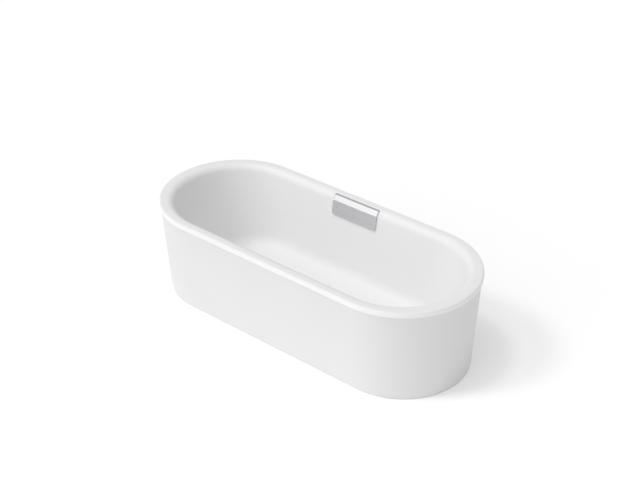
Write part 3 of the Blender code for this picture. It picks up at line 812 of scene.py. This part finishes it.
def make_screws():
    low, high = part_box("rail_screw_1")
    first = None
    for number in range(1, 5):
        node = f"rail_screw_{number}"
        at = (middle(node).x, middle(node).y, low.z + 0.0028)
        if first is None:
            first = screw("rail_screw_body_1", node, 0.0050, 0.0028, 0.0021, high.z - at[2], 0.0014, at)
        else:
            copy_piece(first, f"rail_screw_body_{number}", [node], at=at)
    low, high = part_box("bracket_screw_1")
    first = None
    for number in range(1, 5):
        node = f"bracket_screw_{number}"
        at = (middle(node).x, middle(node).y, high.z - 0.0032)
        down = (pi, 0, 0)
        if first is None:
            length = at[2] - low.z
            first = screw("bracket_screw_body_1", node, 0.0048, 0.0032, 0.0025, length, 0.0010, at, down)
        else:
            copy_piece(first, f"bracket_screw_body_{number}", [node], at=at, turn=down)


def hex_nut(flats, bore, height):
    """A hexagon nut whose corners are chamfered by a cone at both ends."""
    sides = 72
    chamfer = 0.0010
    levels = [chamfer * step / 4 for step in range(5)]
    levels += [height - level for level in reversed(levels)]
    loops = []
    for z in levels:
        cone = flats / 2 * 0.95 + min(z, height - z) * tan(radians(60))
        loop = []
        for i in range(sides):
            turn = 2 * pi * i / sides
            face = (turn + pi / 6) % (pi / 3) - pi / 6
            radius = min(flats / 2 / cos(face), cone)
            loop.append((radius * cos(turn), radius * sin(turn), z))
        loops.append(loop)
    for radius, z in ((bore + 0.0006, height), (bore, height - 0.0006), (bore, 0.0006), (bore + 0.0006, 0)):
        loops.append(circle(radius, z, sides))
    return loft(loops)


def make_feet():
    """Four feet: threaded stud, pad, and the two nuts that hold the stud on the rail."""
    shared = {}
    for number in range(1, 5):
        body = f"foot_{number}"
        node = f"foot_stud_{number}"
        low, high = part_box(node)
        at = (middle(node).x, middle(node).y, 0)
        stud = shared.get("stud")
        if stud is None:
            rings = [circle(0.0035, low.z), circle(0.0046, low.z + 0.001)]
            rings += thread(FOOT_STUD, 0.0008, 0.0015, low.z + 0.0012, high.z - 0.0010)
            rings.append(circle(FOOT_STUD - 0.0012, high.z))
            shared["stud"] = add(f"foot_rod_{number}", stack(rings), ZINC, [node], body, at)
        else:
            copy_piece(stud, f"foot_rod_{number}", [node], body, at)
        node = f"foot_pad_{number}"
        low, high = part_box(node)
        pad = shared.get("pad")
        if pad is None:
            wide = (high.x - low.x) / 2
            bore = FOOT_STUD + GAP
            profile = [
                (0, 0), (wide - 0.0020, 0), (wide - 0.0007, 0.0005), (wide, 0.0018), (wide, 0.0055),
                (wide - 0.0008, 0.0066), (wide - 0.0040, 0.0086), (0.0125, 0.0104), (0.0104, 0.0118),
                (0.0098, 0.0140), (0.0095, high.z - 0.001), (0.0087, high.z), (bore + 0.0006, high.z),
                (bore, high.z - 0.0006), (bore, 0.0090), (0, 0.0090),
            ]
            base = turned(profile)
            shared["pad"] = add(f"foot_base_{number}", base, PLASTIC_GREY, [node], body, at)
        else:
            copy_piece(pad, f"foot_base_{number}", [node], body, at)
        for node, kind in ((f"foot_nut_{number}", "nut"), (f"foot_lock_nut_{number}", "lock_nut")):
            low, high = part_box(node)
            spot = (at[0], at[1], low.z)
            if kind not in shared:
                nut = hex_nut(NUT_FLATS, FOOT_STUD + 0.0005, high.z - low.z)
                shared[kind] = add(f"foot_{kind}_hex_{number}", nut, ZINC, [node], at=spot)
            else:
                copy_piece(shared[kind], f"foot_{kind}_hex_{number}", [node], at=spot)


# Overflow behind the cover


def wall_slab(low_z, high_z, near, far):
    """A YZ outline parallel to the basin's side wall, between two distances outward of its inner face."""
    return [
        (side_reach(low_z, near), low_z), (side_reach(high_z, near), high_z),
        (side_reach(high_z, far), high_z), (side_reach(low_z, far), low_z),
    ]


def framed_slab(name, node, near, far, material):
    """A thin frame with rounded corners round the overflow window."""
    low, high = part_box(node)
    slab = bar(wall_slab(low.z, high.z, near, far), high.x)
    piece = add(name, slab, material, [node])
    corners = [(low.x, low.z), (high.x, low.z), (high.x, high.z), (low.x, high.z)]
    cut(piece, [prism(fillet(corners, 0.006), 0.25, 0.37)], "INTERSECT")
    cut(piece, overflow_holes())


def make_overflow():
    far = SHELL + 0.0026
    framed_slab("overflow_seal_frame", "overflow_gasket", SHELL + GAP, far, RUBBER)
    framed_slab("overflow_clip_frame", "overflow_clip", -0.0015, -GAP, ZINC)
    low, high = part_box("overflow_body")
    near = SHELL + 0.0029
    back = high.y
    low_z = 0.405
    outline = [
        (side_reach(low_z, near), low_z), (side_reach(high.z, near), high.z), (back, high.z), (back, low_z),
    ]
    housing = bar(fillet(outline, [0, 0, 0.004, 0.004], 5), high.x)
    body = add("overflow_housing", housing, PLASTIC_GREY, ["overflow_body"])
    x, y, z = HOSE_TOP
    cut(body, [rod(0.0115, (x, y, low.z), (x, y, low_z + 0.002))], "UNION")
    room = [
        (-WINDOW_HALF, WINDOW_Z[0] - 0.003), (WINDOW_HALF, WINDOW_Z[0] - 0.003),
        (WINDOW_HALF, WINDOW_Z[1] + 0.005), (-WINDOW_HALF, WINDOW_Z[1] + 0.005),
    ]
    tools = [prism(fillet(room, 0.004), 0.30, back - 0.003), rod(0.0085, (x, y, z - 0.01), (x, y, 0.43))]
    cut(body, tools + overflow_holes()[1:])
    for number in (1, 2):
        node = f"overflow_screw_{number}"
        low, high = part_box(node)
        at = (middle(node).x, low.y + 0.0015, OVERFLOW_SCREW_Z)
        name = f"overflow_screw_body_{number}"
        screw(name, node, 0.0046, 0.0015, 0.0025, high.y - at[1], 0.0010, at, (-pi / 2, 0, 0))


def bezier(corners, steps):
    """Points on one cubic Bezier curve."""
    a, b, c, d = (Vector(p) for p in corners)
    found = []
    for step in range(steps + 1):
        t = step / steps
        u = 1 - t
        found.append(a * u**3 + 3 * b * u * u * t + 3 * c * u * t * t + d * t**3)
    return found


def hose_route():
    """The hose's centre line: straight into each nut, with one smooth bend behind the basin between them."""
    top = Vector(HOSE_TOP)
    low = Vector(HOSE_LOW)
    neck = top - Vector((0, 0, HOSE_STRAIGHT))
    elbow = low + Vector((0, HOSE_STRAIGHT, 0))
    slope = Vector((0, 0.018, 0.07))
    upper = bezier((neck, neck - Vector((0, 0, 0.09)), HOSE_MIDDLE + slope, HOSE_MIDDLE), 40)
    lower = bezier((HOSE_MIDDLE, HOSE_MIDDLE - slope, elbow + Vector((0, 0.09, 0)), elbow), 60)
    return [top] + upper + lower[1:] + [low]


def spaced(points, spacing):
    """Points at an even spacing along a route, with the direction at each."""
    found = []
    run = 0.0
    due = 0.0
    for a, b in zip(points, points[1:]):
        step = (b - a).length
        while due <= run + step + 1e-9:
            found.append((a.lerp(b, min((due - run) / step, 1)), (b - a).normalized()))
            due += spacing
        run += step
    found.append((points[-1].copy(), (points[-1] - points[-2]).normalized()))
    return found


def grip_ring(bore, outer, half, ribs):
    """A union nut: a ring about Z with rounded ribs for the hand."""
    count = ribs * 4
    loops = []
    for inset, z in ((0.0012, -half), (0.0003, -half + 0.0009), (0, -half + 0.0015), (0, half - 0.0040),
                     (0.0015, half - 0.0030), (0.0020, half - 0.0006), (0.0026, half)):
        loop = []
        for i in range(count):
            dip = 0.0007 if i % 4 in (0, 1) and z < half - 0.0035 else 0
            radius = outer - inset - dip
            loop.append((radius * cos(2 * pi * i / count), radius * sin(2 * pi * i / count), z))
        loops.append(loop)
    loops += [circle(bore + 0.0005, half, count), circle(bore, half - 0.0005, count)]
    loops += [circle(bore, -half + 0.0005, count), circle(bore + 0.0005, -half, count)]
    return loft(loops)


def make_hose():
    """A corrugated hose in the X 0 plane, with a union nut on each end."""
    loops = []
    for i, (at, way) in enumerate(spaced(hose_route(), HOSE_RIB / 5)):
        radius = HOSE_RADIUS - 0.0006 * (1 - cos(2 * pi * i / 5))
        up = Vector((1, 0, 0)).cross(way)
        loop = []
        for side in range(28):
            turn = 2 * pi * side / 28
            loop.append(at + radius * (Vector((cos(turn), 0, 0)) + up * sin(turn)))
        loops.append(loop)
    add("overflow_hose_ribbed", stack(loops), HOSE, ["overflow_hose"], sharp=60)
    bore = HOSE_RADIUS + 0.0008
    nut = grip_ring(bore, 0.0175, 0.009, 20)
    over = (pi, 0, 0)
    at = HOSE_TOP
    first = add("hose_nut_upper", nut, PLASTIC_WHITE, ["hose_nut_top"], at=at, turn=over)
    turn = (-pi / 2, 0, 0)
    copy_piece(first, "hose_nut_lower", ["hose_nut_low"], at=HOSE_LOW, turn=turn)


# Waste and trap under the floor


def flat_ring(name, node, inner, edge):
    """A rubber washer whose outer edges are chamfered."""
    low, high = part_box(node)
    profile = [
        (inner, low.z), (high.x - edge, low.z), (high.x, low.z + edge), (high.x, high.z - edge),
        (high.x - edge, high.z), (inner, high.z),
    ]
    add(name, turned(profile), RUBBER, [node])


def make_waste_under():
    flat_ring("flange_gasket_ring", "flange_gasket", WASTE_HOLE + 0.0010, 0.0003)
    flat_ring("waste_gasket_ring", "waste_gasket", 0.0275, 0.0006)
    low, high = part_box("waste_body")
    flange = 0.0370
    wall = 0.0310
    profile = [
        (0, low.z), (wall - 0.003, low.z), (wall - 0.0009, low.z + 0.0009), (wall, low.z + 0.003),
        (wall, high.z - 0.0040), (wall + 0.0006, high.z - 0.0030), (flange - 0.0006, high.z - 0.0025),
        (flange, high.z - 0.0019), (flange, high.z - 0.0004), (flange - 0.0004, high.z), (0.0248, high.z),
        (0.0248, 0.0600), (0.0285, 0.0560), (0.0285, low.z + 0.005), (0.0265, low.z + 0.003),
        (0, low.z + 0.003),
    ]
    body = add("waste_housing", turned(profile), PLASTIC_GREY, ["waste_body"])
    ports = [
        rod(PIPE_RADIUS, (-0.0295, 0, PIPE_Z), (low.x, 0, PIPE_Z), 48),
        rod(0.0115, (0, 0.0295, HOSE_LOW[2]), (0, high.y, HOSE_LOW[2]), 32),
    ]
    cut(body, ports, "UNION")
    bores = [
        rod(PIPE_BORE, (-0.020, 0, PIPE_Z), (low.x - 0.01, 0, PIPE_Z), 48),
        rod(0.0085, (0, 0.020, HOSE_LOW[2]), (0, high.y + 0.01, HOSE_LOW[2]), 32),
    ]
    cut(body, bores)


def make_strainer():
    low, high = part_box("waste_strainer")
    inner = 0.0046
    plate = high.z - 0.0022
    profile = [
        (inner, low.z), (0.0084, low.z), (0.0090, low.z + 0.0006), (0.0090, plate - 0.0010), (0.0100, plate),
        (high.x - 0.0004, plate), (high.x, plate + 0.0004),
        (high.x, high.z - 0.0004), (high.x - 0.0004, high.z),
        (inner + 0.0006, high.z), (inner, high.z - 0.0006),
    ]
    strainer = add("waste_cross", turned(profile), CHROME_POLISHED, ["waste_strainer"])
    holes = []
    for step in range(6):
        angle = step * pi / 3
        x, y = 0.0155 * cos(angle), 0.0155 * sin(angle)
        holes.append(rod(0.0040, (x, y, plate - 0.005), (x, y, high.z + 0.005), 24))
    cut(strainer, holes)
    low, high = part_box("plug_stem")
    edge = 0.0008
    profile = [
        (0, low.z), (high.x - edge, low.z), (high.x, low.z + edge), (high.x, 0.066),
        (high.x - 0.0005, 0.0665),
        (high.x - 0.0005, 0.0675), (high.x, 0.068), (high.x, high.z), (0, high.z),
    ]
    add("plug_rod", turned(profile, 40), CHROME_POLISHED, ["plug_stem"], "waste_plug")
    low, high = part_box("plug_seal")
    profile = [
        (0.0128, low.z), (0.0208, low.z), (0.0218, low.z + 0.0003), (0.0236, high.z - 0.0005),
        (0.0236, high.z - 0.0001), (0.0230, high.z), (0.0128, high.z),
    ]
    add("plug_seal_ring", turned(profile), RUBBER, ["plug_seal"], "waste_plug")


def make_trap():
    low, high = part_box("trap_bowl")
    at = (TRAP_X, 0, 0)
    inner = TRAP_RADIUS - 0.0025
    profile = [
        (0, low.z), (TRAP_RADIUS - 0.009, low.z), (TRAP_RADIUS - 0.005, low.z + 0.0010),
        (TRAP_RADIUS - 0.002, low.z + 0.0032), (TRAP_RADIUS, low.z + 0.0075), (TRAP_RADIUS, high.z),
        (inner, high.z), (inner, low.z + 0.008),
        (inner - 0.0015, low.z + 0.0045), (inner - 0.005, low.z + 0.0025),
        (0, low.z + 0.0025),
    ]
    trap = add("trap_cup", turned(profile), PLASTIC_WHITE, ["trap_bowl"], at=at)
    ends = ((TRAP_X + TRAP_RADIUS - 0.002, high.x), (TRAP_X - TRAP_RADIUS + 0.002, low.x))
    cut(trap, [rod(PIPE_RADIUS - 0.001, (a, 0, PIPE_Z), (b, 0, PIPE_Z), 48) for a, b in ends], "UNION")
    bores = []
    for a, b in ends:
        way = 0.010 if b > a else -0.010
        bores.append(rod(PIPE_BORE - 0.001, (a - way, 0, PIPE_Z), (b + way, 0, PIPE_Z), 48))
    cut(trap, bores)
    low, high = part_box("trap_cap")
    outer = (high.x - low.x) / 2
    sides = 144
    loops = []
    for inset, z in ((0, low.z), (0, high.z - 0.0012), (0.0004, high.z - 0.0004), (0.0012, high.z),
                     (0.0080, high.z), (0.0090, high.z - 0.0008)):
        loop = []
        for i in range(sides):
            radius = outer - inset - (0.0006 if i % 4 < 2 and inset < 0.001 else 0)
            turn = 2 * pi * i / sides
            loop.append((radius * cos(turn), radius * sin(turn), z))
        loops.append(loop)
    add("trap_lid", stack(loops), PLASTIC_GREY, ["trap_cap"], at=at)
    low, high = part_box("outlet_pipe")
    edge = 0.0008
    profile = [
        (PIPE_BORE, low.x), (PIPE_RADIUS - edge, low.x), (PIPE_RADIUS, low.x + edge), (PIPE_RADIUS, high.x),
        (PIPE_BORE, high.x),
    ]
    sideways = (0, pi / 2, 0)
    place = (0, 0, PIPE_Z)
    tube = turned(profile, 48)
    add("outlet_tube", tube, PLASTIC_GREY, ["outlet_pipe"], at=place, turn=sideways)
    nut = grip_ring(PIPE_RADIUS + GAP, PIPE_RADIUS + 0.0045, 0.010, 30)
    spot = (middle("trap_nut_in").x, 0, PIPE_Z)
    inward = (0, -pi / 2, 0)
    first = add("trap_nut_inlet", nut, PLASTIC_WHITE, ["trap_nut_in"], at=spot, turn=inward)
    spot = (middle("trap_nut_out").x, 0, PIPE_Z)
    copy_piece(first, "trap_nut_outlet", ["trap_nut_out"], at=spot, turn=sideways)


# Materials for the CAD nodes


def dress():
    """Gives every CAD node the material of its slot."""
    by_slot = {
        "basin": BASIN_ACRYLIC_PAINTED_LIGHT, "skirt": SKIRT_ACRYLIC_PAINTED_SHADE, "cover_chrome": CHROME, "waste_chrome": CHROME_POLISHED,
        "silicone": SILICONE, "gasket_rubber": RUBBER, "board": BOARD, "zinc_steel": ZINC,
        "plastic_white": PLASTIC_WHITE, "plastic_grey": PLASTIC_GREY, "hose": HOSE,
    }
    for part in frame["record"]["subparts"]:
        node = frame["nodes"][part["node"]]
        node.data.materials.clear()
        node.data.materials.append(by_slot[part["material_slot"]])


# Stage


def make_world():
    """A surround of broad soft lobes, which shows plain white behind the object."""
    world = bpy.data.worlds.new("studio")
    bpy.context.scene.world = world
    world.use_nodes = True
    tree = world.node_tree
    background = tree.nodes["Background"]
    background.inputs["Color"].default_value = (1, 1, 1, 1)
    place = tree.nodes.new("ShaderNodeTexCoord")
    total = None
    for direction, sharpness, strength in SKY_LOBES:
        facing = tree.nodes.new("ShaderNodeVectorMath")
        facing.operation = "DOT_PRODUCT"
        facing.inputs[1].default_value = Vector(direction).normalized()
        link(tree, place.outputs["Generated"], facing.inputs[0])
        front = tree.nodes.new("ShaderNodeMath")
        front.operation = "MAXIMUM"
        front.inputs[1].default_value = 0.0
        link(tree, facing.outputs["Value"], front.inputs[0])
        lobe = tree.nodes.new("ShaderNodeMath")
        lobe.operation = "POWER"
        lobe.inputs[1].default_value = sharpness
        link(tree, front.outputs["Value"], lobe.inputs[0])
        scaled = tree.nodes.new("ShaderNodeMath")
        scaled.operation = "MULTIPLY_ADD"
        scaled.inputs[1].default_value = strength
        scaled.inputs[2].default_value = 0.0
        link(tree, lobe.outputs["Value"], scaled.inputs[0])
        if total is not None:
            link(tree, total, scaled.inputs[2])
        total = scaled.outputs["Value"]
    link(tree, total, background.inputs["Strength"])
    plain = tree.nodes.new("ShaderNodeBackground")
    plain.inputs["Color"].default_value = (1, 1, 1, 1)
    path = tree.nodes.new("ShaderNodeLightPath")
    mix = tree.nodes.new("ShaderNodeMixShader")
    link(tree, path.outputs["Is Camera Ray"], mix.inputs["Fac"])
    link(tree, background.outputs["Background"], mix.inputs[1])
    link(tree, plain.outputs["Background"], mix.inputs[2])
    link(tree, mix.outputs["Shader"], tree.nodes["World Output"].inputs["Surface"])


def make_floor():
    material = bpy.data.materials.new("floor_white")
    material.use_nodes = True
    tree = material.node_tree
    shader = tree.nodes["Principled BSDF"]
    shader.inputs["Roughness"].default_value = 0.9
    shader.inputs["Specular IOR Level"].default_value = 0.0
    shader.inputs["Emission Color"].default_value = (1, 1, 1, 1)
    shader.inputs["Emission Strength"].default_value = FLOOR_GLOW
    link(tree, tint(tree, noise(tree, 3.0), grey(0.965), grey(0.97)), shader.inputs["Base Color"])
    bm = bmesh.new()
    bmesh.ops.create_grid(bm, x_segments=8, y_segments=8, size=40)
    mesh = bpy.data.meshes.new("floor")
    bm.to_mesh(mesh)
    bm.free()
    mesh.materials.append(material)
    floor = bpy.data.objects.new("floor", mesh)
    floor.location.z = -0.0002
    bpy.context.scene.collection.objects.link(floor)


def make_lights():
    """A fan of narrow suns over one side, so the shadow is crisp near the bath and fades along its length."""
    for elevation, strength in SUNS:
        high = radians(elevation)
        lamp = bpy.data.lights.new(f"key_{elevation}", "SUN")
        lamp.energy = strength
        lamp.angle = SUN_ANGLE
        key = bpy.data.objects.new(f"key_{elevation}", lamp)
        toward = SUN_SIDE * cos(high) + Vector((0, 0, sin(high)))
        key.rotation_euler = toward.to_track_quat("Z", "Y").to_euler()
        bpy.context.scene.collection.objects.link(key)


def make_camera():
    data = bpy.data.cameras.new("camera")
    data.lens = CAMERA_LENS
    data.sensor_width = 36
    camera = bpy.data.objects.new("camera", data)
    back = Vector((
        sin(CAMERA_AZIMUTH) * cos(CAMERA_ELEVATION),
        -cos(CAMERA_AZIMUTH) * cos(CAMERA_ELEVATION),
        sin(CAMERA_ELEVATION),
    ))
    camera.location = CAMERA_TARGET + back * CAMERA_DISTANCE
    camera.rotation_euler = back.to_track_quat("Z", "Y").to_euler()
    bpy.context.scene.collection.objects.link(camera)
    bpy.context.scene.camera = camera


dress()
make_basin()
make_skirt()
make_cover()
make_waste_top()
make_board()
make_rails()
make_brackets()
make_screws()
make_feet()
make_overflow()
make_hose()
make_waste_under()
make_strainer()
make_trap()
make_world()
make_floor()
make_lights()
make_camera()
bpy.context.scene.view_settings.view_transform = "Standard"
